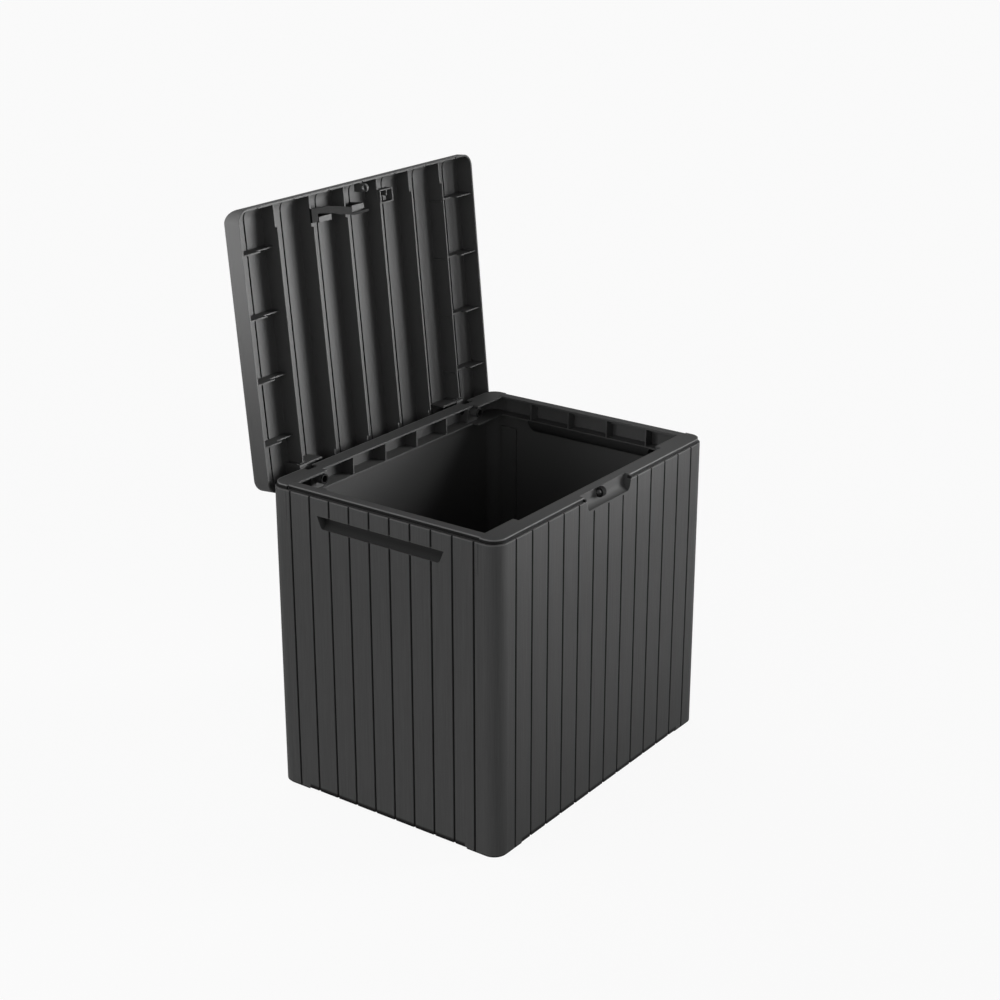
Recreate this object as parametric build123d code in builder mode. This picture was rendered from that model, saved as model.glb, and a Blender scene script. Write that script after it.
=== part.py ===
"""Deck storage box with a hinged, plank-patterned lid, shown with the lid standing open."""
import os
from math import cos, radians, sin, sqrt

from build123d import *

os.makedirs("parts", exist_ok=True)

# Body: overall sizes, walls and the plank pattern
body_width = 578.0
body_depth = 434.0
corner_radius = 24.0
plank_top = 509.0
rim_rise = 6.5
wall = 3.6
groove_width = 4.0
groove_root = 2.0
groove_depth = 1.8
front_corner_plank = 45.4
side_corner_plank = 42.85
front_groove_count = 13
side_groove_count = 10
plank_chamfer = 1.0
foot_round = 2.5

# Body: seams between the panels
seam_gap = 0.4
seam_jog = 8.0
seam_jog_height = 50.0
lap_gap = 0.4
lap_wall = 3.0
lap_reach = 12.0
lap_root = 16.0
lap_bottom = 20.0
edge_rib = 3.0

# Body: rim, shelf and the ribs between them
curb_inset = 3.5
side_curb_inset = 6.6
curb_wall = 3.0
ledge_height = 4.0
flange = 3.0
rim_width_mid = 29.0
rim_width_corner = 39.5
rim_width_side = 22.5
rim_corner_length = 92.0
shelf_drop = 32.0
rim_rib = 2.5
rim_rib_rows = (1, 3)

# Body: feet, base ledge and base panel
foot_relief = 4.0
foot_wall = 10.0
centre_foot = 36.0
front_foot = 62.0
side_foot = 58.5
base_height = 14.0
base_plate = 3.0
base_gap = 0.5
base_ledge = 14.0
base_ledge_height = 4.0
base_ledge_margin = 32.0
base_rib = 3.0
base_rib_drop = 7.0
base_ribs_across = 6
base_ribs_along = 3

# Body: hand grips in the side panels
grip_depth = 19.7
grip_half_top = 121.0
grip_half_bottom = 112.0
grip_end_round = 6.0
form_wall = 3.0

# Body: finger recess and padlock eye in the front panel
recess_rise = 17.5
recess_depth = 12.8
recess_floor_rise = 13.5
recess_half_bottom = 57.0
recess_half_top = 64.3
recess_round = 7.0
eye_x = -12.0
eye_radius = 8.0
eye_hole = 4.6
eye_width = 9.0
eye_drop = 7.0
eye_stem_height = 8.0
eye_head = 14.0
eye_head_wall = 2.8
eye_fit = 0.1
eye_back_gap = 1.3

# Lid: overall sizes, position and opening
lid_side_inset = 2.7
lid_front_overhang = 5.9
lid_back_inset = 0.3
lid_height = 34.1
lid_corner = 21.0
lid_gap = 0.32
lid_wall = 3.0
lid_edge_round = 7.5
open_angle = 95.1

# Lid: long ribs, plank lines and cross ribs on its inner side
bay_count = 7
long_rib = 2.4
long_rib_drop = 1.2
rib_end_drop = 5.6
rib_front_cut = 38.0
rib_back_cut = 30.0
line_width = 3.0
line_depth = 1.8
rib_root = 0.6
cross_rib = 2.0
cross_rib_count = 4
cross_rib_first = 68.0
cross_rib_last = 75.0
cross_rib_tall = 40.0
cross_rib_drop = 4.0
cross_rib_low_drop = 14.0
gusset_reach = 3.0

# Lid: latch fittings near its front edge
lug_gap = 1.0
lug_wall = 4.0
lug_radius = 6.5
lug_hole = 4.0
lug_lead = 3.0
lug_web_drop = 1.0
lug_web_top = 13.0
socket_bay = 4
socket_width = 32.0
socket_depth = 22.0
socket_setback = 33.6
socket_wall = 1.8
socket_drop = 0.6
socket_height = 14.0
latch_drop = 1.5
latch_side_gap = 1.0
latch_path = [(-83.4, 24), (-45.4, 26), (-22.4, 30), (4.6, 36), (11.1, 37.5), (11.1, 46.5), (51.6, 46.5),
              (51.6, 50.9), (15.6, 50.9), (6.6, 48.7), (-18.4, 43.9), (-34.4, 39.2), (-61.4, 34.5),
              (-69.4, 34), (-69.4, 46), (-83.4, 46)]
latch_seats = [(-51.4, 44.0), (28.1, 40.0)]
seat_width = 29.0
seat_depth = 8.5
seat_drop = 3.5
seat_wall = 2.0

# Hinges
hinge_row = 5
axis_setback = 11.5
axis_drop = 13.5
knuckle_radius = 6.0
ear_width = 18.0
ear_wall = 5.0
notch_side_gap = 2.0
notch_front_gap = 1.0
notch_drop = 5.5
cheek = 3.5
pin_radius = 2.5
pin_fit = 0.05
pin_head_radius = 4.2
pin_head = 1.6
arm_drop = 0.6
arm_front = 17.0
arm_back = 5.5
arm_web = 3.0
arm_web_reach = 45.0
arm_web_drop = 1.6
plug_boss_radius = 8.5
plug_boss_front = 25.5
plug_web_setback = 11.5
plug_web = 3.0
plug_radius = 6.6
plug_bore = 5.4
plug_fit = 0.1
plug_head_radius = 8.2
plug_head = 2.0
plug_tail = 0.5

# Positions that follow from the sizes above
half_width = body_width / 2
half_depth = body_depth / 2
front_pitch = (body_width - 2 * front_corner_plank) / (front_groove_count - 1)
side_pitch = (body_depth - 2 * side_corner_plank) / (side_groove_count - 1)
front_grooves = [(i - (front_groove_count - 1) / 2) * front_pitch for i in range(front_groove_count)]
side_grooves = [(i - (side_groove_count - 1) / 2) * side_pitch for i in range(side_groove_count)]
seam_y = side_grooves[-1]
seam_top_y = seam_y + seam_jog
jog_z = plank_top - seam_jog_height
lap_top = jog_z - 4.0
ledge_bottom = plank_top - ledge_height
rim_top = plank_top + rim_rise
flange_bottom = rim_top - flange
shelf_top = rim_top - shelf_drop
shelf_bottom = shelf_top - flange
rim_mid_y = half_depth - rim_width_mid
rim_corner_y = half_depth - rim_width_corner
rim_side_x = half_width - rim_width_side
rim_corner_x = half_width - rim_corner_length
hinge_x = hinge_row * front_pitch
axis_y = half_depth - axis_setback
axis_z = rim_top - axis_drop
lid_rim = rim_top + lid_gap
lid_front = -half_depth - lid_front_overhang
lid_back = half_depth - lid_back_inset
lid_depth = lid_back - lid_front
lid_mid = (lid_front + lid_back) / 2
lid_width = body_width - 2 * lid_side_inset
lid_half = lid_width / 2
bay_pitch = 2 * front_pitch
bay_centres = [(i - (bay_count - 1) / 2) * bay_pitch for i in range(bay_count)]
long_ribs = [x + bay_pitch / 2 for x in bay_centres[:-1]]
skin_inner = lid_height - lid_wall
latch_rib = long_ribs[2]
latch_left = latch_rib + min(x for x, setback in latch_path)
latch_right = latch_rib + max(x for x, setback in latch_path)
latch_setback = max(setback for x, setback in latch_path)
eye_y = -half_depth + eye_radius
eye_z = rim_top - eye_drop
lug_x = eye_x + eye_width / 2 + lug_gap
lug_drop = lid_rim - eye_z
lug_setback = eye_y - lug_lead - lid_front
up_y = sin(radians(open_angle))
up_z = cos(radians(open_angle))


def lid_point(x, y, z):
    """Where a point of the shut lid stands when the lid is open."""
    dy = y - axis_y
    dz = z - axis_z
    return (x, axis_y + dy * up_z + dz * up_y, axis_z - dy * up_y + dz * up_z)


def lid_level(drop, y=lid_mid):
    """Plane level with the lid's rim, facing the lid's outer side."""
    return Plane(origin=lid_point(0, y, lid_rim + drop), x_dir=(1, 0, 0), z_dir=(0, up_y, up_z))


def lid_section(y):
    """Plane across the lid at shut position y, facing the lid's front edge."""
    return Plane(origin=lid_point(0, y, lid_rim), x_dir=(1, 0, 0), z_dir=(0, -up_z, up_y))


def lid_side(x):
    """Plane along the lid's side, with the way back and the way up as its own axes."""
    return Plane(origin=lid_point(x, lid_front, lid_rim), x_dir=(0, up_z, -up_y), z_dir=(1, 0, 0))


def along_x(x, y, z):
    """Plane facing +X with Y and Z as its own axes."""
    return Plane(origin=(x, y, z), x_dir=(0, 1, 0), z_dir=(1, 0, 0))


def rect(x0, x1, y0, y1, mode=Mode.ADD):
    """Rectangle between two corners on the active sketch."""
    with Locations(((x0 + x1) / 2, (y0 + y1) / 2)):
        Rectangle(abs(x1 - x0), abs(y1 - y0), mode=mode)


def block(x0, x1, y0, y1, z0, z1, mode=Mode.ADD):
    """Upright box between two corners and two heights."""
    with BuildSketch(Plane.XY.offset(z0)) as plan:
        rect(x0, x1, y0, y1)
    extrude(plan.sketch, amount=z1 - z0, mode=mode)


def lid_block(x0, x1, y0, y1, drop0, drop1, mode=Mode.ADD):
    """Box on the lid, given by its place on the shut lid."""
    with BuildSketch(lid_level(drop0, 0)) as plan:
        rect(x0, x1, y0, y1)
    extrude(plan.sketch, amount=drop1 - drop0, mode=mode)


def outline(inset, mode=Mode.ADD):
    """Rounded plan outline of the body, drawn in by an inset."""
    RectangleRounded(body_width - 2 * inset, body_depth - 2 * inset, corner_radius - inset, mode=mode)


def ring(inset, thickness, near, z0, z1):
    """Part of a wall along the outline, on the far side of the line y = near."""
    far = half_depth + 1 if near > 0 else -half_depth - 1
    with BuildSketch(Plane.XY.offset(z0)) as plan:
        outline(inset)
        outline(inset + thickness, Mode.SUBTRACT)
        rect(-half_width, half_width, near, far, Mode.INTERSECT)
    extrude(plan.sketch, amount=z1 - z0)


def rim_plate(side, inset, z0):
    """Level plate of an end panel, stepped along its inner edge."""
    far = side * (half_depth + 1)
    with BuildSketch(Plane.XY.offset(z0)) as plan:
        rect(-rim_corner_x, rim_corner_x, side * rim_mid_y, far)
        for end in (-1, 1):
            corner_x = end * (rim_side_x - seam_gap)
            rect(end * rim_corner_x, corner_x, side * rim_corner_y, far)
            rect(corner_x, end * half_width, side * (seam_top_y + seam_gap / 2), far)
        outline(inset, Mode.INTERSECT)
    extrude(plan.sketch, amount=flange)


def end_rib(x0, x1, inner_y, side):
    """Upright rib of an end panel between its shelf and its rim, set back behind the curb."""
    wall_y = side * (half_depth - wall / 2)
    curb_y = side * (half_depth - curb_inset - curb_wall / 2)
    block(x0, x1, side * inner_y, wall_y, shelf_top, ledge_bottom)
    block(x0, x1, side * inner_y, curb_y, ledge_bottom, flange_bottom)


def groove_shape(depth):
    """Tapered groove section, open towards +Y."""
    tip = groove_root / 2
    lip = groove_width / 2
    Polygon((-lip, 0), (-tip, -depth), (tip, -depth), (lip, 0), align=None)


def plank_grooves(places, edge, turn):
    """Upright grooves along one face of the body."""
    with BuildSketch(Plane.XY.offset(-1)) as plan:
        for place in places:
            spot = (place, edge) if turn in (0, 180) else (edge, place)
            with Locations(Location(spot, turn)):
                groove_shape(groove_depth)
    extrude(plan.sketch, amount=plank_top + 2, mode=Mode.SUBTRACT)


def on_outline(edge):
    """True for an edge that lies on the body's outer outline."""
    middle = edge.center()
    dx = abs(middle.X) - (half_width - corner_radius)
    dy = abs(middle.Y) - (half_depth - corner_radius)
    reach = sqrt(dx**2 + dy**2) if dx > 0 and dy > 0 else max(dx, dy)
    return abs(reach - corner_radius) < 0.1


def outer_edges(solid, height):
    """Outer outline edges of a panel at one height."""
    level = solid.edges().filter_by_position(Axis.Z, height - 0.01, height + 0.01)
    return level.filter_by(on_outline)


def end_shell(panel, side):
    """Skin, rim, shelf, laps and feet that the front and back panels share."""
    low = side * (seam_y + seam_gap / 2)
    high = side * (seam_top_y + seam_gap / 2)
    ring(0, wall, low, 0, jog_z)
    ring(wall / 2, foot_wall, low, 0, base_height - base_ledge_height)
    ring(0, wall, high, jog_z, ledge_bottom)
    ring(0, curb_inset + curb_wall, high, ledge_bottom, plank_top)
    chamfer(outer_edges(panel, plank_top), length=plank_chamfer)
    chamfer(outer_edges(panel, 0), length=foot_round)
    ring(curb_inset, curb_wall, high, ledge_bottom, rim_top)
    rim_plate(side, curb_inset, flange_bottom)
    rim_plate(side, wall / 2, shelf_bottom)
    ledge_x = half_width - base_ledge_margin
    block(-ledge_x, ledge_x, side * (half_depth - wall / 2), side * (half_depth - wall - base_ledge),
          base_height - base_ledge_height, base_height)
    for end in (-1, 1):
        lap_out = end * (half_width - wall - lap_gap)
        lap_in = lap_out - end * lap_wall
        block(lap_in, end * (half_width - wall / 2), low, low + side * lap_root, lap_bottom, lap_top)
        block(lap_in, lap_out, low + side, low - side * lap_reach, lap_bottom, lap_top)
        for row in rim_rib_rows:
            x = end * row * front_pitch
            end_rib(x - rim_rib / 2, x + rim_rib / 2, rim_mid_y, side)
    foot_x = half_width - front_foot
    block(-foot_x, foot_x, side * (half_depth + 1), side * (half_depth - wall - foot_wall), -1, foot_relief,
          Mode.SUBTRACT)
    plank_grooves(front_grooves, side * half_depth, 0 if side > 0 else 180)
    plank_grooves([side * seam_y], half_width, -90)
    plank_grooves([side * seam_y], -half_width, 90)


def recess_form(grow):
    """Finger recess of the front panel, grown by the thickness of its backing."""
    floor_z = plank_top - recess_rise + recess_floor_rise
    back_y = -half_depth + recess_depth + grow
    low_z = floor_z - recess_floor_rise - grow
    turn = sqrt(0.5)
    middle = (-half_depth + (recess_depth + grow) * turn, floor_z - (recess_floor_rise + grow) * turn)
    top_z = flange_bottom if grow else rim_top + 1
    front_y = -half_depth if grow else -half_depth - 5
    with BuildPart() as form:
        with BuildSketch(Plane.YZ):
            with BuildLine():
                ThreePointArc((-half_depth, low_z), middle, (back_y, floor_z))
                Polyline((back_y, floor_z), (back_y, top_z), (front_y, top_z), (front_y, low_z))
                if not grow:
                    Line((front_y, low_z), (-half_depth, low_z))
            make_face()
        extrude(amount=recess_half_top + grow, both=True)
        with BuildSketch(Plane.XZ.offset(half_depth - recess_depth - 2 * grow)):
            Polygon((-recess_half_bottom - grow, low_z), (recess_half_bottom + grow, low_z),
                    (recess_half_top + grow, rim_top + 2), (-recess_half_top - grow, rim_top + 2), align=None)
            fillet(vertices().group_by(Axis.Y)[0], radius=recess_round)
        extrude(amount=recess_depth + 2 * grow + 6, mode=Mode.INTERSECT)
    return form.part


def grip_form(grow):
    """Hand grip of the left panel, grown by the thickness of its backing."""
    roof = shelf_bottom
    radius = grip_depth + grow
    with BuildPart() as form:
        with BuildSketch(Plane.XZ):
            with Locations((-half_width, roof)):
                Circle(radius)
            rect(-half_width if grow else -half_width - radius, -half_width + radius + 1,
                 roof - radius - 1, roof, Mode.INTERSECT)
        extrude(amount=grip_half_top + grow, both=True)
        with BuildSketch(Plane.YZ.offset(-half_width - radius - 1)):
            Polygon((-grip_half_bottom - grow, roof - radius), (grip_half_bottom + grow, roof - radius),
                    (grip_half_top + grow, roof + 1), (-grip_half_top - grow, roof + 1), align=None)
            fillet(vertices().group_by(Axis.Y)[0], radius=grip_end_round)
        extrude(amount=2 * radius + 3, mode=Mode.INTERSECT)
    return form.part


# Front panel: wraps both front corners and carries the finger recess
recess_space = recess_form(0)
recess_backing = recess_form(form_wall)
recess_wall_y = -half_depth + recess_depth
with BuildPart() as front_panel:
    end_shell(front_panel, -1)
    for end in (-1, 1):
        x = end * hinge_x
        end_rib(x - rim_rib / 2, x + rim_rib / 2, rim_corner_y, -1)
    add(recess_backing)
    add(recess_space, mode=Mode.SUBTRACT)
    slot = eye_width / 2 + eye_fit
    block(eye_x - slot, eye_x + slot, recess_wall_y - 1, recess_wall_y + form_wall + 1,
          eye_z - eye_stem_height / 2 - eye_fit, eye_z + eye_stem_height / 2 + eye_fit, Mode.SUBTRACT)
front_panel.part.label = "front_panel"
export_step(front_panel.part, "parts/front_panel.step")

# Back panel: wraps both back corners and carries the hinge seats
with BuildPart() as back_panel:
    end_shell(back_panel, 1)
    for end in (-1, 1):
        x = end * hinge_x
        notch = ear_width / 2 + notch_side_gap
        web_y = axis_y - plug_web_setback
        for hand in (-1, 1):
            end_rib(x + hand * notch, x + hand * (notch + cheek), web_y, 1)
        block(x - notch, x + notch, web_y, web_y + plug_web, shelf_top, flange_bottom)
        with BuildSketch(Plane(origin=(x, web_y, axis_z), x_dir=(1, 0, 0), z_dir=(0, -1, 0))):
            Circle(plug_boss_radius)
        extrude(amount=plug_boss_front - plug_web_setback)
        with BuildSketch(Plane(origin=(x, web_y + plug_web + 1, axis_z), x_dir=(1, 0, 0), z_dir=(0, -1, 0))):
            Circle(plug_radius + plug_fit)
        extrude(amount=plug_boss_front, mode=Mode.SUBTRACT)
        block(x - notch, x + notch, axis_y - ear_wall / 2 - notch_front_gap, half_depth + 1,
              axis_z - notch_drop, rim_top + 1, Mode.SUBTRACT)
        with BuildSketch(along_x(x - notch - cheek - 1, axis_y, axis_z)):
            Circle(pin_radius + pin_fit)
        extrude(amount=2 * (notch + cheek + 1), mode=Mode.SUBTRACT)
back_panel.part.label = "back_panel"
export_step(back_panel.part, "parts/back_panel.step")

# Left and right panels: flat walls that slot in between the wrapped corners
grip_space = grip_form(0)
grip_backing = grip_form(form_wall)
with BuildPart() as left_panel:
    low = seam_y - seam_gap / 2
    high = seam_top_y - seam_gap / 2
    side_curb_x = -half_width + side_curb_inset
    skin_x = -half_width + wall
    block(-half_width, skin_x, -low, low, 0, jog_z)
    block(-half_width, skin_x, -high, high, jog_z, ledge_bottom)
    block(-half_width, side_curb_x + curb_wall, -high, high, ledge_bottom, plank_top)
    chamfer(outer_edges(left_panel, plank_top), length=plank_chamfer)
    chamfer(outer_edges(left_panel, 0), length=foot_round)
    block(side_curb_x, side_curb_x + curb_wall, -high, high, ledge_bottom, rim_top)
    block(side_curb_x, -rim_side_x, -high, high, flange_bottom, rim_top)
    block(-half_width + wall / 2, -rim_side_x, -high, high, shelf_bottom, shelf_top)
    ledge_y = half_depth - front_foot
    block(-half_width + wall / 2, skin_x + base_ledge, -ledge_y, ledge_y,
          base_height - base_ledge_height, base_height)
    for end in (-1, 1):
        rib_y = end * (low + seam_gap - lap_reach - lap_gap)
        block(skin_x - wall / 2, skin_x + lap_gap + lap_wall, rib_y, rib_y - end * edge_rib, lap_bottom,
              lap_top)
        for row in rim_rib_rows:
            near = end * row * side_pitch - rim_rib / 2
            far = near + rim_rib
            block(-half_width + wall / 2, -rim_side_x, near, far, shelf_top, ledge_bottom)
            block(side_curb_x + curb_wall / 2, -rim_side_x, near, far, ledge_bottom, flange_bottom)
    add(grip_backing)
    add(grip_space, mode=Mode.SUBTRACT)
    foot_y = half_depth - side_foot
    block(-half_width - 1, skin_x + 1, -foot_y, foot_y, -1, foot_relief, Mode.SUBTRACT)
    plank_grooves(side_grooves, -half_width, 90)
left_panel.part.label = "left_panel"
export_step(left_panel.part, "parts/left_panel.step")

with BuildPart() as right_panel:
    mirror(left_panel.part, about=Plane.YZ)
right_panel.part.label = "right_panel"
export_step(right_panel.part, "parts/right_panel.step")

# Base panel: a plate on the panels' ledges, stiffened by ribs underneath
with BuildPart() as base_panel:
    with BuildSketch(Plane.XY.offset(base_height)):
        outline(wall + base_gap)
    extrude(amount=base_plate)
    rib_x = half_width - wall - base_ledge - base_gap - base_rib
    rib_y = half_depth - wall - base_ledge - base_gap - base_rib
    for i in range(base_ribs_across):
        x = -rib_x + i * 2 * rib_x / (base_ribs_across - 1)
        block(x - base_rib / 2, x + base_rib / 2, -rib_y, rib_y, base_height - base_rib_drop, base_height)
    for i in range(base_ribs_along):
        y = -rib_y + i * 2 * rib_y / (base_ribs_along - 1)
        block(-rib_x, rib_x, y - base_rib / 2, y + base_rib / 2, base_height - base_rib_drop, base_height)
    block(-centre_foot / 2, centre_foot / 2, -centre_foot / 2, centre_foot / 2, 0, base_height)
base_panel.part.label = "base_panel"
export_step(base_panel.part, "parts/base_panel.step")

# Padlock eye: a ring in the finger recess, held by a stem and a head behind the wall
with BuildPart() as padlock_eye:
    with BuildSketch(along_x(eye_x - eye_width / 2, eye_y, eye_z)):
        Circle(eye_radius)
        rect(-eye_radius, recess_wall_y - eye_back_gap - eye_y, -eye_radius, eye_radius, Mode.INTERSECT)
    extrude(amount=eye_width)
    stem_z = eye_stem_height / 2
    block(eye_x - eye_width / 2, eye_x + eye_width / 2, eye_y, recess_wall_y + form_wall, eye_z - stem_z,
          eye_z + stem_z - eye_fit)
    with BuildSketch(along_x(eye_x - eye_width / 2 - 1, eye_y, eye_z)):
        Circle(eye_hole)
    extrude(amount=eye_width + 2, mode=Mode.SUBTRACT)
    block(eye_x - eye_head / 2, eye_x + eye_head / 2, recess_wall_y + form_wall,
          recess_wall_y + form_wall + eye_head_wall, eye_z - eye_head / 2, flange_bottom - eye_fit)
padlock_eye.part.label = "padlock_eye"
export_step(padlock_eye.part, "parts/padlock_eye.step")

# Hinge pins and hinge plugs, one of each per hinge
with BuildPart() as right_hinge_pin:
    pin_start = hinge_x - ear_width / 2 - notch_side_gap - cheek
    with BuildSketch(along_x(pin_start - pin_head, axis_y, axis_z)):
        Circle(pin_head_radius)
    extrude(amount=pin_head)
    with BuildSketch(along_x(pin_start, axis_y, axis_z)):
        Circle(pin_radius)
    extrude(amount=ear_width + 2 * (notch_side_gap + cheek))
right_hinge_pin.part.label = "right_hinge_pin"
export_step(right_hinge_pin.part, "parts/right_hinge_pin.step")

with BuildPart() as left_hinge_pin:
    mirror(right_hinge_pin.part, about=Plane.YZ)
left_hinge_pin.part.label = "left_hinge_pin"
export_step(left_hinge_pin.part, "parts/left_hinge_pin.step")

with BuildPart() as right_hinge_plug:
    plug_front = axis_y - plug_boss_front
    plug_back = axis_y - plug_web_setback + plug_web + plug_tail
    with BuildSketch(Plane(origin=(hinge_x, plug_front, axis_z), x_dir=(1, 0, 0), z_dir=(0, -1, 0))):
        Circle(plug_head_radius)
    extrude(amount=plug_head)
    with BuildSketch(Plane(origin=(hinge_x, plug_back, axis_z), x_dir=(1, 0, 0), z_dir=(0, -1, 0))):
        Circle(plug_radius)
    extrude(amount=plug_back - plug_front)
    with BuildSketch(Plane(origin=(hinge_x, plug_back + 1, axis_z), x_dir=(1, 0, 0), z_dir=(0, -1, 0))):
        Circle(plug_bore)
    extrude(amount=plug_back - plug_front + plug_head + 2, mode=Mode.SUBTRACT)
right_hinge_plug.part.label = "right_hinge_plug"
export_step(right_hinge_plug.part, "parts/right_hinge_plug.step")

with BuildPart() as left_hinge_plug:
    mirror(right_hinge_plug.part, about=Plane.YZ)
left_hinge_plug.part.label = "left_hinge_plug"
export_step(left_hinge_plug.part, "parts/left_hinge_plug.step")


def lid_top_edges(solid):
    """Sharp edges round the top of the level lid, on its sides and back."""
    behind = lid_corner - lid_depth / 2 + 1
    level = solid.edges().filter_by_position(Axis.Z, lid_height - 0.01, lid_height + 0.01)
    return level.filter_by_position(Axis.Y, behind, lid_depth / 2)


def lid_form(inset):
    """Shape of the lid, drawn in by an inset on every side but the open one and turned open."""
    start = -1 if inset else 0
    with BuildPart() as form:
        with BuildSketch(Plane.XY.offset(start)):
            RectangleRounded(lid_width - 2 * inset, lid_depth - 2 * inset, lid_corner - inset)
        extrude(amount=lid_height - inset - start)
        with BuildSketch(Plane.YZ.offset(-lid_half - 1)):
            rect(inset - lid_depth / 2, lid_depth / 2, start, lid_height - inset)
            fillet(vertices().group_by(Axis.X)[0].sort_by(Axis.Y)[-1], radius=lid_corner - inset)
        extrude(amount=lid_width + 2, mode=Mode.INTERSECT)
        if not inset:
            fillet(lid_top_edges(form), radius=lid_edge_round)
    return lid_level(0).location * form.part


# Ribs of the lid: long ribs between the bays, cross ribs and gussets beside the outer ones
with BuildPart() as lid_ribs:
    first_rib = lid_front + cross_rib_first
    last_rib = lid_back - cross_rib_last
    for x in long_ribs:
        lid_block(x - long_rib / 2, x + long_rib / 2, lid_front + rib_front_cut, lid_back - rib_back_cut,
                  long_rib_drop, lid_height)
        lid_block(x - long_rib / 2, x + long_rib / 2, lid_front, lid_back, rib_end_drop, lid_height)
    for x in (hinge_x, -hinge_x):
        for hand in (-1, 1):
            flank = x + hand * ear_width / 2
            lid_block(flank, flank - hand * long_rib, lid_back - rib_back_cut, lid_back, rib_end_drop,
                      lid_height)
    for i in range(cross_rib_count):
        y = first_rib + i * (last_rib - first_rib) / (cross_rib_count - 1)
        with BuildSketch(lid_section(y + cross_rib / 2)):
            for end in (-1, 1):
                outer = end * lid_half
                step = outer - end * (lid_wall + cross_rib_tall)
                inner = end * long_ribs[-1]
                rect(outer, step, cross_rib_drop, lid_height)
                rect(step, inner, cross_rib_low_drop, lid_height)
                rect(inner, inner - end * gusset_reach, cross_rib_drop, lid_height)
        extrude(amount=cross_rib)
    for seat_offset, seat_setback in latch_seats:
        seat_x = latch_rib + seat_offset
        front = lid_front + seat_setback - seat_depth / 2
        lid_block(seat_x - seat_width / 2, seat_x + seat_width / 2, front, front + seat_depth, seat_drop,
                  lid_height)
        lid_block(seat_x - seat_width / 2 + seat_wall, seat_x + seat_width / 2 - seat_wall, front - 1,
                  front + seat_depth - seat_wall, seat_drop + seat_wall, lid_height, Mode.SUBTRACT)
    lid_block(latch_left - latch_side_gap, latch_right + latch_side_gap, lid_front + rib_front_cut - 1,
              lid_front + latch_setback + latch_side_gap, 0, seat_drop, Mode.SUBTRACT)
    for x in (long_ribs[1], long_ribs[2]):
        lid_block(x - long_rib, x + long_rib, lid_front + rib_front_cut - 1,
                  lid_front + latch_setback + latch_side_gap, 0, rib_end_drop, Mode.SUBTRACT)
    add(lid_form(lid_wall - rib_root), mode=Mode.INTERSECT)

# Lines where two planks of the lid meet, on its inner side
with BuildPart() as plank_lines:
    for x in bay_centres:
        lid_block(x - line_width / 2, x + line_width / 2, lid_front, lid_back, -1, lid_height)
    add(lid_form(lid_wall - line_depth), mode=Mode.INTERSECT)

# Lid: one moulding, a rounded shell with ribs, a padlock lug and a latch socket
lid_hollow = lid_form(lid_wall)
with BuildPart() as lid:
    add(lid_form(0))
    add(lid_hollow, mode=Mode.SUBTRACT)
    add(plank_lines.part, mode=Mode.SUBTRACT)
    with BuildSketch(lid_section(lid_back + 1)):
        for x in long_ribs:
            with Locations((x, lid_height)):
                groove_shape(groove_depth)
    extrude(amount=lid_depth + 2, mode=Mode.SUBTRACT)
    add(lid_ribs.part)
    with BuildSketch(lid_side(lug_x)):
        rect(lid_wall - rib_root, lug_setback + lug_radius, lug_web_drop, lug_web_top)
        rect(lug_setback - lug_radius, lug_setback + lug_radius, -lug_drop, lug_web_top)
        with Locations((lug_setback, -lug_drop)):
            Circle(lug_radius)
            Circle(lug_hole, mode=Mode.SUBTRACT)
    extrude(amount=lug_wall)
    with BuildSketch(lid_level(socket_drop, 0)):
        with Locations((long_ribs[socket_bay - 1] + socket_width / 2, lid_front + socket_setback)):
            Rectangle(socket_width, socket_depth)
            Rectangle(socket_width - 2 * socket_wall, socket_depth - 2 * socket_wall, mode=Mode.SUBTRACT)
            Rectangle(socket_wall, socket_depth / 2, align=(Align.CENTER, Align.MAX))
    extrude(amount=socket_height)
lid.part.label = "lid"
export_step(lid.part, "parts/lid.step")

# Latch bar: a cranked bar across two bays near the lid's front edge
with BuildPart() as latch_bar:
    with BuildSketch(lid_level(latch_drop, 0)):
        with BuildLine():
            Polyline(*[(latch_rib + x, lid_front + setback) for x, setback in latch_path], close=True)
        make_face()
    extrude(amount=rib_end_drop - latch_drop)
latch_bar.part.label = "latch_bar"
export_step(latch_bar.part, "parts/latch_bar.step")


def hinge_arm(end):
    """Arm under the lid that reaches down to the hinge pin on one side."""
    x = end * hinge_x
    root_x = x - end * ear_width / 2
    with BuildPart() as arm:
        lid_block(x - ear_width / 2, x + ear_width / 2, axis_y - arm_front, axis_y + arm_back, arm_drop,
                  rib_end_drop)
        lid_block(x - ear_width / 2, x + ear_width / 2, axis_y - ear_wall / 2, axis_y + ear_wall / 2,
                  axis_z - lid_rim, arm_drop + 1)
        with BuildSketch(lid_section(axis_y - arm_front + arm_web)):
            rect(root_x + end, x - end * arm_web_reach, arm_web_drop, skin_inner)
            rect(root_x + end, root_x - end, rib_end_drop, skin_inner, Mode.SUBTRACT)
        extrude(amount=arm_web)
        with BuildSketch(along_x(x - ear_width / 2, axis_y, axis_z)):
            Circle(knuckle_radius)
        extrude(amount=ear_width)
        with BuildSketch(along_x(x - ear_width / 2 - 1, axis_y, axis_z)):
            Circle(pin_radius + pin_fit)
        extrude(amount=ear_width + 2, mode=Mode.SUBTRACT)
    return arm.part


# Hinge arms: one under each end of the lid's back edge
right_hinge_arm = hinge_arm(1)
right_hinge_arm.label = "right_hinge_arm"
export_step(right_hinge_arm, "parts/right_hinge_arm.step")

left_hinge_arm = hinge_arm(-1)
left_hinge_arm.label = "left_hinge_arm"
export_step(left_hinge_arm, "parts/left_hinge_arm.step")
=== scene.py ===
from math import cos, radians, sin

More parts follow.
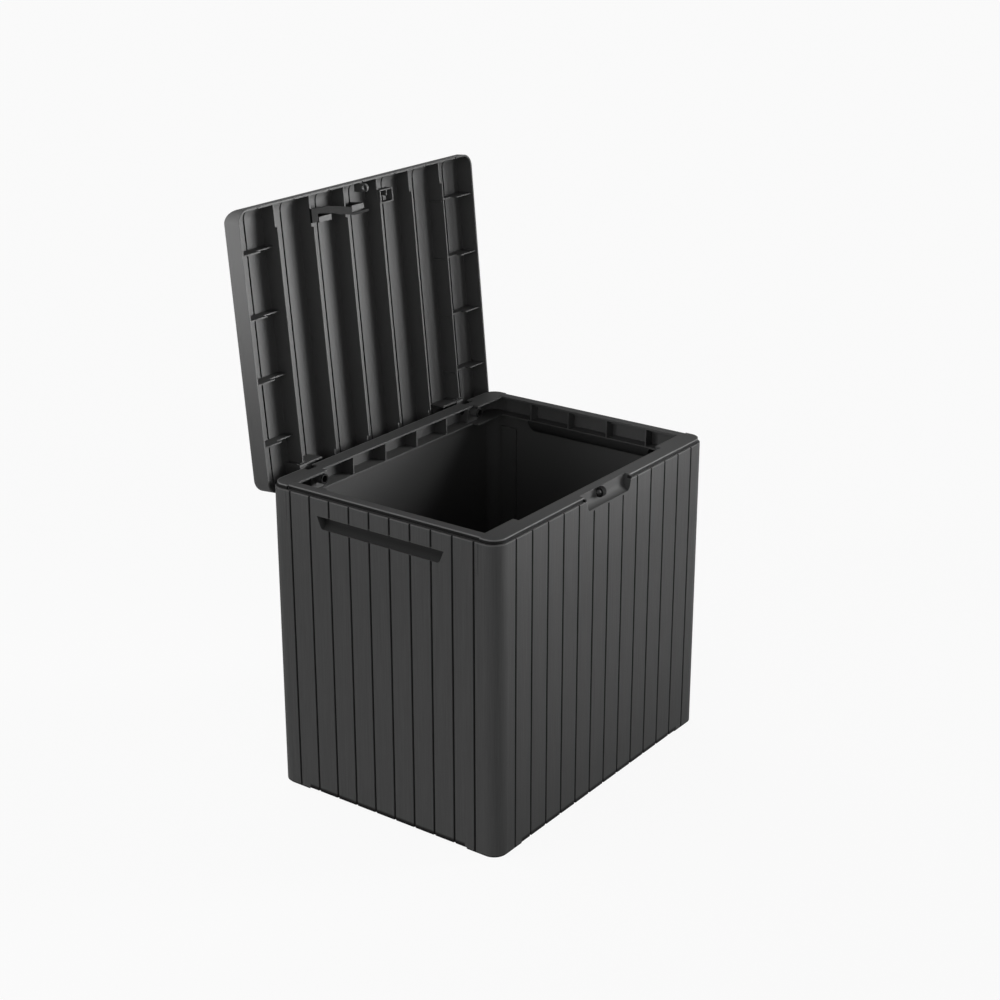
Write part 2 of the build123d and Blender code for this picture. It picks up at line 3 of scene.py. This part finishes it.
import bmesh
import bpy
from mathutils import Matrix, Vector


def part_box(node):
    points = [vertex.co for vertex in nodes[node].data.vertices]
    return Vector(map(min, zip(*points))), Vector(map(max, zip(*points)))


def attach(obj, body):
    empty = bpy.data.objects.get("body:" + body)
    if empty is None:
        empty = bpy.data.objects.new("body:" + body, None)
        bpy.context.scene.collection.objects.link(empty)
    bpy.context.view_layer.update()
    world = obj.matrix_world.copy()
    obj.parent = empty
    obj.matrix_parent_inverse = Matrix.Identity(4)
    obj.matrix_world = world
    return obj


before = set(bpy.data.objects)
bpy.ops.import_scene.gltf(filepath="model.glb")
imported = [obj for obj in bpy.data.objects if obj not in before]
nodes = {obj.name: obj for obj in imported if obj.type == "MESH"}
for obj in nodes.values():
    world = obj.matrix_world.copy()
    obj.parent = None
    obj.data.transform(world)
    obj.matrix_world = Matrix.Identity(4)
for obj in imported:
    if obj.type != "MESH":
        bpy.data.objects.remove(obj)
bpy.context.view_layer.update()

scene = bpy.context.scene
print("frame loaded:", len(nodes), "nodes")


class Wire:
    # a socket that takes part in sums, so shader maths reads as plain Python
    def __init__(self, tree, socket):
        self.tree = tree
        self.socket = socket

    def other(self, name):
        return Wire(self.tree, self.socket.node.outputs[name])

    def maths(self, operation, other=None, swap=False):
        node = self.tree.nodes.new("ShaderNodeMath")
        node.operation = operation
        values = [self] if other is None else ([other, self] if swap else [self, other])
        for slot, value in zip(node.inputs, values):
            join(self.tree, slot, value)
        return Wire(self.tree, node.outputs[0])

    def __add__(self, other):
        return self.maths("ADD", other)

    def __radd__(self, other):
        return self.maths("ADD", other, True)

    def __sub__(self, other):
        return self.maths("SUBTRACT", other)

    def __rsub__(self, other):
        return self.maths("SUBTRACT", other, True)

    def __mul__(self, other):
        return self.maths("MULTIPLY", other)

    def __rmul__(self, other):
        return self.maths("MULTIPLY", other, True)

    def __neg__(self):
        return self.maths("MULTIPLY", -1.0)

    def __gt__(self, other):
        return self.maths("GREATER_THAN", other)

    def __lt__(self, other):
        return self.maths("LESS_THAN", other)

    def __abs__(self):
        return self.maths("ABSOLUTE")

    def largest(self, other):
        return self.maths("MAXIMUM", other)

    def smallest(self, other):
        return self.maths("MINIMUM", other)

    def root(self):
        return self.maths("SQRT")


def join(tree, slot, value):
    if isinstance(value, Wire):
        tree.links.new(value.socket, slot)
    else:
        slot.default_value = value


class Finish:
    # the node tree of a material or world, and a single way to add a node to it
    def __init__(self, owner):
        owner.use_nodes = True
        self.owner = owner
        self.tree = owner.node_tree
        self.tree.nodes.clear()

    def add(self, kind, settings=None, sockets=None, output=0):
        node = self.tree.nodes.new(kind)
        for key, value in (settings or {}).items():
            setattr(node, key, value)
        for key, value in (sockets or {}).items():
            join(self.tree, node.inputs[key], value)
        return Wire(self.tree, node.outputs[output]) if node.outputs else None

    def ramp(self, value, low, high):
        # 0 at low, 1 at high, level beyond them
        return self.add("ShaderNodeMapRange", sockets={
            "Value": value, "From Min": low, "From Max": high})

    def blend(self, factor, first, second):
        return self.add("ShaderNodeMix", {"data_type": "RGBA"}, {
            0: factor, 6: first, 7: second}, output=2)

    def seen(self):
        # 1 where the camera looks straight at it, in a mirror or through glass
        rays = self.add("ShaderNodeLightPath", output=0)
        return rays.largest(rays.other("Is Glossy Ray")).largest(rays.other("Is Transmission Ray"))


def grey(level):
    return (level, level, level, 1)


# graphite resin with an upright wood grain: broad fibres and fine streaks
graphite = {
    "dark": grey(0.034),
    "pale": grey(0.052),
    # painted shade: a near-black colour laid into the groove floors, the line under the rim, the lower
    # edges and the grip's depths
    "groove": grey(0.004),
    # painted highlight: a pale colour laid along the rim's outer top edge and the planks' top edges
    "edge": grey(0.12),
    "roughness": 0.6,
    "roughSpread": 0.12,
    "shine": 0.06,
    "fibre": {"scale": (420, 420, 9), "detail": 4.0, "share": 0.8},
    "streak": {"scale": (1500, 1500, 22), "detail": 2.0, "share": 0.9},
    "grainBreakup": 0.6,
    "grainDepth": 0.00025,
    "grainStrength": 0.6,
    "edgeRound": 0.0009,
}
bevelSamples = 6


def grain(finish, spot, values, breakup):
    stretched = finish.add("ShaderNodeMapping", sockets={"Vector": spot, "Scale": values["scale"]})
    noise = finish.add("ShaderNodeTexNoise", sockets={
        "Vector": stretched, "Scale": 1.0, "Detail": values["detail"], "Roughness": breakup})
    return (noise - 0.5) * values["share"]


def softEdges(finish, radius):
    return finish.add("ShaderNodeBevel", {"samples": bevelSamples}, {"Radius": radius})


def plankFinish(name, values, zones):
    finish = Finish(bpy.data.materials.new(name))
    spot = finish.add("ShaderNodeTexCoord", output=3)
    x = finish.add("ShaderNodeSeparateXYZ", sockets={"Vector": spot})
    outside, paintedShade, paintedHighlight = zones(finish, x, x.other("Y"), x.other("Z"))
    fibre = grain(finish, spot, values["fibre"], values["grainBreakup"])
    streak = grain(finish, spot, values["streak"], values["grainBreakup"])
    pattern = (fibre + streak) * outside
    plank = finish.blend(pattern + 0.5, values["dark"], values["pale"])
    # painted highlight along edges
    if paintedHighlight is not None:
        plank = finish.blend(paintedHighlight, plank, values["edge"])
    surface = finish.add("ShaderNodeBump", sockets={
        "Height": pattern, "Distance": values["grainDepth"], "Strength": values["grainStrength"],
        "Normal": softEdges(finish, values["edgeRound"])})
    shader = finish.add("ShaderNodeBsdfPrincipled", sockets={
        # painted shade: the base colour is pulled toward the near-black shade colour wherever the zones
        # mark shade
        "Base Color": finish.blend(paintedShade, plank, values["groove"]),
        "Roughness": pattern * values["roughSpread"] + values["roughness"],
        "Specular IOR Level": values["shine"],
        "Normal": surface})
    finish.add("ShaderNodeOutputMaterial", sockets={"Surface": shader})
    return finish.owner


# walls: grain on the planks; painted shade on the groove floors, in a dark line under the rim, along
# the lower edge and deep in the grip, and painted highlights on the rim's outer edge and on the planks'
# tops
walls = {
    "corner": 0.024, "skin": 0.003,
    "grooveTop": 0.0002, "grooveFloor": 0.0014,
    "plankTop": 0.509, "plankMargin": 0.0004, "plankChamfer": 0.001,
    "plankEdge": (0.0014, 0.0006), "plankEdgeDepth": 0.0013, "plankHighlight": 0.5,
    "curbLine": 0.0045, "curbReach": 0.0072, "lineDark": 0.9,
    "endInset": 0.0035, "sideInset": 0.0066, "seam": 0.182, "rimEdge": (0.0019, 0.0007),
    "lowerEdge": (0.0120, 0.0082), "footEdge": (0.0048, 0.0022), "foot": 0.062,
    "gripMiddle": 0.4705, "gripRise": 0.0112, "gripHalf": 0.1225,
    "gripDepth": (0.002, 0.014), "gripDark": 0.7,
    "recessFoot": 0.491, "recessHalf": 0.0655,
}


def wallZones(finish, x, y, z):
    low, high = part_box("front_panel")
    halfWidth, halfDepth = high[0], -low[1]
    # depth below the walls' outer face, followed round the corners
    across = (abs(x) - (halfWidth - walls["corner"])).largest(0.0)
    along = (abs(y) - (halfDepth - walls["corner"])).largest(0.0)
    depth = walls["corner"] - (across * across + along * along).root()
    outside = depth < walls["skin"]

    grip = (abs(z - walls["gripMiddle"]) < walls["gripRise"]) * (abs(y) < walls["gripHalf"])
    recess = (z > walls["recessFoot"]) * (abs(x) < walls["recessHalf"]) * (y < 0.0)
    plain = (z < walls["plankTop"] - walls["plankMargin"]) * (1 - grip.largest(recess))
    # painted shade on the groove floors between the planks
    groove = finish.ramp(depth, walls["grooveTop"], walls["grooveFloor"]) * outside * plain
    # painted shade, darker the deeper it lies in the hand grip
    pocket = finish.ramp(depth, *walls["gripDepth"]) * grip * walls["gripDark"]

    # painted shade: a dark line at the foot of the rim's curb, under the rim
    halfLine = walls["curbLine"] / 2
    curbLine = (abs(z - walls["plankTop"] - halfLine) < halfLine) * (depth < walls["curbReach"])
    footX = abs(x) - (halfWidth - walls["foot"])
    footY = abs(y) - (halfDepth - walls["foot"])
    betweenFeet = footX.smallest(footY) < 0.0
    # painted shade along the walls' lower edge between the feet
    lowerEdge = finish.ramp(z, *walls["lowerEdge"]) * betweenFeet
    # painted shade along the bottom edge of the feet, where they meet the floor
    footEdge = finish.ramp(z, *walls["footEdge"])
    lines = (curbLine * walls["lineDark"]).largest(lowerEdge).largest(footEdge)

    # the rim's edge lies further in on the side panels than at the front and back
    inset = (abs(y) > walls["seam"]) * (walls["endInset"] - walls["sideInset"]) + walls["sideInset"]
    # painted highlight along the rim's outer top edge
    rimEdge = finish.ramp(abs(depth - inset).largest(abs(z - high[2])), *walls["rimEdge"])
    # painted highlight, at half strength, along the chamfer on the planks' tops
    plankRim = abs(z - (walls["plankTop"] - walls["plankChamfer"] / 2))
    plankEdge = finish.ramp(plankRim, *walls["plankEdge"]) * (depth < walls["plankEdgeDepth"])
    paintedHighlight = rimEdge.largest(plankEdge * walls["plankHighlight"])
    return outside, groove.largest(lines).largest(pocket), paintedHighlight


# lid: grain on its outer face, and painted shade on the floors of the lines between its planks
lidShape = {
    "openAngle": 95.1, "hinge": (0.2055, 0.502),
    "skin": 0.0475, "lineTop": 0.0450, "lineFloor": 0.0460, "edge": 0.026,
}


def lidZones(finish, x, y, z):
    turn = radians(lidShape["openAngle"])
    hingeY, hingeZ = lidShape["hinge"]
    # height above the hinge, as on the shut lid
    height = (y - hingeY) * sin(turn) + (z - hingeZ) * cos(turn)
    outside = height > lidShape["skin"]
    low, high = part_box("lid")
    within = (abs(x) < high[0] - lidShape["edge"]) * (z < high[2] - lidShape["edge"]) * (
        z > low[2] + lidShape["edge"])
    # painted shade on the floors of the lines between the lid's planks
    line = finish.ramp(height, lidShape["lineTop"], lidShape["lineFloor"]) * (height < lidShape["skin"])
    return outside, line * within, None


# small black fittings: a fine moulded speckle and softened edges
blackPlastic = {
    "dark": grey(0.005), "pale": grey(0.010), "roughness": 0.72, "roughSpread": 0.12, "shine": 0.03,
    "speckleScale": 900.0, "speckleDetail": 2.0, "speckleDepth": 0.0001, "speckleStrength": 0.4,
    "edgeRound": 0.0005,
}


def speckledFinish(name, values):
    finish = Finish(bpy.data.materials.new(name))
    speckle = finish.add("ShaderNodeTexNoise", sockets={
        "Vector": finish.add("ShaderNodeTexCoord", output=3), "Scale": values["speckleScale"],
        "Detail": values["speckleDetail"]})
    surface = finish.add("ShaderNodeBump", sockets={
        "Height": speckle, "Distance": values["speckleDepth"], "Strength": values["speckleStrength"],
        "Normal": softEdges(finish, values["edgeRound"])})
    shader = finish.add("ShaderNodeBsdfPrincipled", sockets={
        "Base Color": finish.blend(speckle, values["dark"], values["pale"]),
        "Roughness": (speckle - 0.5) * values["roughSpread"] + values["roughness"],
        "Specular IOR Level": values["shine"],
        "Normal": surface})
    finish.add("ShaderNodeOutputMaterial", sockets={"Surface": shader})
    return finish.owner


wallFinish = plankFinish("graphiteWalls", graphite, wallZones)
lidFinish = plankFinish("graphiteLid", graphite, lidZones)
fittingFinish = speckledFinish("blackFittings", blackPlastic)
finishes = {
    "lid": lidFinish, "left_hinge_arm": lidFinish, "right_hinge_arm": lidFinish,
    "latch_bar": fittingFinish, "padlock_eye": fittingFinish,
    "left_hinge_plug": fittingFinish, "right_hinge_plug": fittingFinish,
    "left_hinge_pin": fittingFinish, "right_hinge_pin": fittingFinish,
}
for name, node in nodes.items():
    for slot in node.material_slots:
        slot.material = finishes.get(name, wallFinish)
print("finishes set on", len(nodes), "nodes")

# fillers that close the ends of the lid's inner lines, where they break through its rounded back edge
fillers = {
    "count": 7, "pitch": 0.0812, "width": 0.0036, "thickness": 0.0012,
    "edgeRound": 0.0075, "below": 0.00005, "steps": 10,
}


def lidFillers(values):
    turn = radians(lidShape["openAngle"])
    back = Vector((0, cos(turn), -sin(turn)))
    up = Vector((0, sin(turn), cos(turn)))
    points = [vertex.co for vertex in nodes["lid"].data.vertices]
    backReach = max(point.dot(back) for point in points) - values["edgeRound"]
    upReach = max(point.dot(up) for point in points) - values["edgeRound"]
    outer = values["edgeRound"] - values["below"]
    inner = outer - values["thickness"]
    half = Vector((values["width"] / 2, 0, 0))
    shape = bmesh.new()
    for i in range(values["count"]):
        middle = Vector(((i - (values["count"] - 1) / 2) * values["pitch"], 0, 0))
        middle += back * backReach + up * upReach
        corners = [shape.verts.new(middle + back * reach + side) for reach, side in (
            (outer, -half), (outer, half), (inner, half), (inner, -half))]
        end = shape.faces.new(corners)
        bmesh.ops.spin(shape, geom=[end, *end.edges, *end.verts], cent=middle, axis=(1, 0, 0),
                       angle=radians(90), steps=values["steps"])
    bmesh.ops.recalc_face_normals(shape, faces=shape.faces)
    mesh = bpy.data.meshes.new("lidFillers")
    shape.to_mesh(mesh)
    shape.free()
    piece = bpy.data.objects.new("lidFillers", mesh)
    scene.collection.objects.link(piece)
    mesh.materials.append(lidFinish)
    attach(piece, "lid")
    return piece


print("fillers:", len(lidFillers(fillers).data.polygons), "faces")

# pale floor, white to the camera and still shaded by the box
floorValues = {"size": 80.0, "level": 0.98, "white": 0.92}
bpy.ops.mesh.primitive_plane_add(size=floorValues["size"], location=(0, 0, 0))
floor = bpy.context.object
floor.name = "floor"
floorFinish = Finish(bpy.data.materials.new("paleFloor"))
matt = floorFinish.add("ShaderNodeBsdfDiffuse", sockets={"Color": grey(floorValues["level"])})
white = floorFinish.add("ShaderNodeEmission", sockets={"Color": grey(1.0), "Strength": 1.0})
floorFinish.add("ShaderNodeOutputMaterial", sockets={"Surface": floorFinish.add(
    "ShaderNodeMixShader", sockets={0: floorFinish.seen() * floorValues["white"], 1: matt, 2: white})})
floor.data.materials.append(floorFinish.owner)

# surroundings that light the box mostly from its left and its back, little from above
surroundings = {"around": 0.3, "left": 4.0, "right": 0.8, "back": 3.4}
scene.world = bpy.data.worlds.new("studio")
studio = Finish(scene.world)
toX = studio.add("ShaderNodeSeparateXYZ", sockets={"Vector": studio.add("ShaderNodeTexCoord")})
toY = toX.other("Y")
low = 1 - toX.other("Z").largest(0.0)
sides = (-toX).largest(0.0) * surroundings["left"] + toX.largest(0.0) * surroundings["right"]
glow = low * low * (sides + toY.largest(0.0) * surroundings["back"] + surroundings["around"])
backdrop = studio.add("ShaderNodeBackground", sockets={
    "Color": grey(1.0), "Strength": studio.seen() * (1 - glow) + glow})
studio.add("ShaderNodeOutputWorld", sockets={"Surface": backdrop})
print("floor and surroundings ready")

# soft lights on the front, into the open lid and on the lid's left side
lamps = {
    "frontLight": {"at": (1.7, -1.5, 1.0), "aim": (-0.2, 0.2, 0.8),
                   "size": 1.6, "spread": 30, "power": 8.9},
    "lidLight": {"at": (0.4, -0.55, 0.88), "aim": (-0.25, 0.25, 0.82),
                 "size": 0.5, "spread": 60, "power": 4.1},
    "sideLight": {"at": (-1.0, 0.6, 0.93), "aim": (-0.28, 0.27, 0.91),
                  "size": 0.4, "spread": 50, "power": 1.75},
}
for name, values in lamps.items():
    lamp = bpy.data.lights.new(name, "AREA")
    lamp.shape = "DISK"
    lamp.size = values["size"]
    lamp.energy = values["power"]
    lamp.spread = radians(values["spread"])
    holder = bpy.data.objects.new(name, lamp)
    scene.collection.objects.link(holder)
    holder.location = values["at"]
    holder.visible_camera = False
    direction = Vector(values["aim"]) - Vector(values["at"])
    holder.rotation_euler = direction.to_track_quat("-Z", "Y").to_euler()
print("lamps:", ", ".join(lamps))

# camera at the photo's viewing angle
view = {"at": (-2.3151, -1.6908, 1.5354), "turn": 54.044, "tilt": 20.837, "lens": 69.17, "sensor": 36}
camera = bpy.data.objects.new("camera", bpy.data.cameras.new("camera"))
scene.collection.objects.link(camera)
camera.location = view["at"]
camera.rotation_euler = (radians(90 - view["tilt"]), 0, radians(-view["turn"]))
camera.data.sensor_width = view["sensor"]
camera.data.lens = view["lens"]
scene.camera = camera
scene.view_settings.view_transform = "Standard"
print("camera set")
